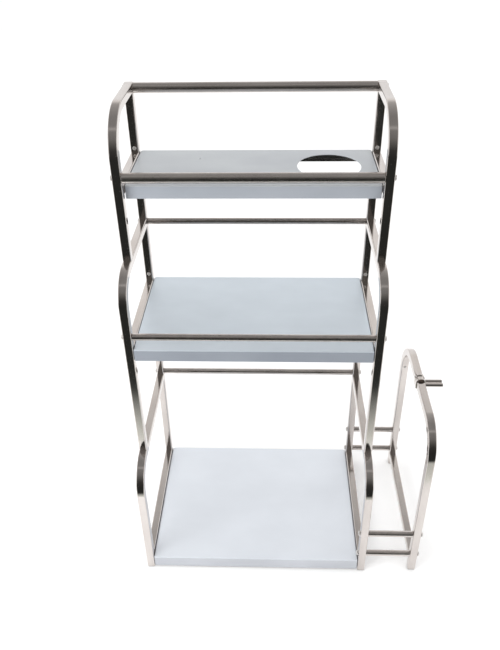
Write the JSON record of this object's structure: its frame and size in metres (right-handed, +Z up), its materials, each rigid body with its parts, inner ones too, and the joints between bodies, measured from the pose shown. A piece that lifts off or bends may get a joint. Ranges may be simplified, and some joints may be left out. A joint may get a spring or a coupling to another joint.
{
  "type": "stepped countertop rack",
  "caption": "Stepped stainless kitchen rack with bent tube sides, folded sheet trays, a round hole for a cup, and a board holder with a sliding hook.",
  "frame": {"origin": "middle of the footprint, on the floor under the feet", "axes": "+Z up, -Y towards the front, +X towards the board holder on the right"},
  "size_m": [0.4522, 0.2428, 0.6873],
  "materials": {
    "polished_tube": "mirror polished stainless steel tube",
    "tray_sheet": "fine satin stainless steel sheet",
    "fastener_steel": "plain stainless steel",
    "foot_plastic": "grey moulded plastic plug",
    "hook_steel": "mirror polished stainless steel"
  },
  "bodies": {
    "rack": {"bottom_rear_rod": "polished_tube", "bottom_rear_rod_left_bolt": "fastener_steel", "bottom_rear_rod_right_bolt": "fastener_steel", "bottom_tray": "tray_sheet", "front_lower_spacer": "polished_tube", "front_lower_spacer_inner_bolt": "fastener_steel", "front_lower_spacer_outer_bolt": "fastener_steel", "front_upper_spacer": "polished_tube", "front_upper_spacer_inner_bolt": "fastener_steel", "front_upper_spacer_outer_bolt": "fastener_steel", "holder_bow": "polished_tube", "holder_front_foot": "foot_plastic", "holder_rear_foot": "foot_plastic", "holder_side_rail": "polished_tube", "left_bottom_bow": "polished_tube", "left_bottom_side_rail": "polished_tube", "left_front_foot": "foot_plastic", "left_middle_bow": "polished_tube", "left_middle_side_rail": "polished_tube", "left_rear_foot": "foot_plastic", "left_rear_upright": "polished_tube", "left_top_bow": "polished_tube", "left_top_side_rail": "polished_tube", "middle_guard_rod": "polished_tube", "middle_guard_rod_left_bolt": "fastener_steel", "middle_guard_rod_right_bolt": "fastener_steel", "middle_rear_rod": "polished_tube", "middle_rear_rod_left_bolt": "fastener_steel", "middle_rear_rod_right_bolt": "fastener_steel", "middle_tray": "tray_sheet", "middle_tray_left_screw": "fastener_steel", "middle_tray_right_screw": "fastener_steel", "rear_lower_spacer": "polished_tube", "rear_lower_spacer_inner_bolt": "fastener_steel", "rear_lower_spacer_outer_bolt": "fastener_steel", "rear_upper_spacer": "polished_tube", "rear_upper_spacer_inner_bolt": "fastener_steel", "rear_upper_spacer_outer_bolt": "fastener_steel", "right_bottom_bow": "polished_tube", "right_bottom_side_rail": "polished_tube", "right_front_foot": "foot_plastic", "right_middle_bow": "polished_tube", "right_middle_side_rail": "polished_tube", "right_rear_foot": "foot_plastic", "right_rear_upright": "polished_tube", "right_top_bow": "polished_tube", "right_top_side_rail": "polished_tube", "top_guard_rod": "polished_tube", "top_guard_rod_left_bolt": "fastener_steel", "top_guard_rod_right_bolt": "fastener_steel", "top_rear_rod": "polished_tube", "top_rear_rod_left_bolt": "fastener_steel", "top_rear_rod_right_bolt": "fastener_steel", "top_tray": "tray_sheet"},
    "hook": {"hook_front_peg": "hook_steel", "hook_rear_peg": "hook_steel", "hook_sleeve": "hook_steel"}
  },
  "joints": [
    {"name": "hook_slide", "type": "slide", "parent": "rack", "child": "hook", "axis": [0, 1, 0], "range_m": [-0.066, 0.049]}
  ]
}
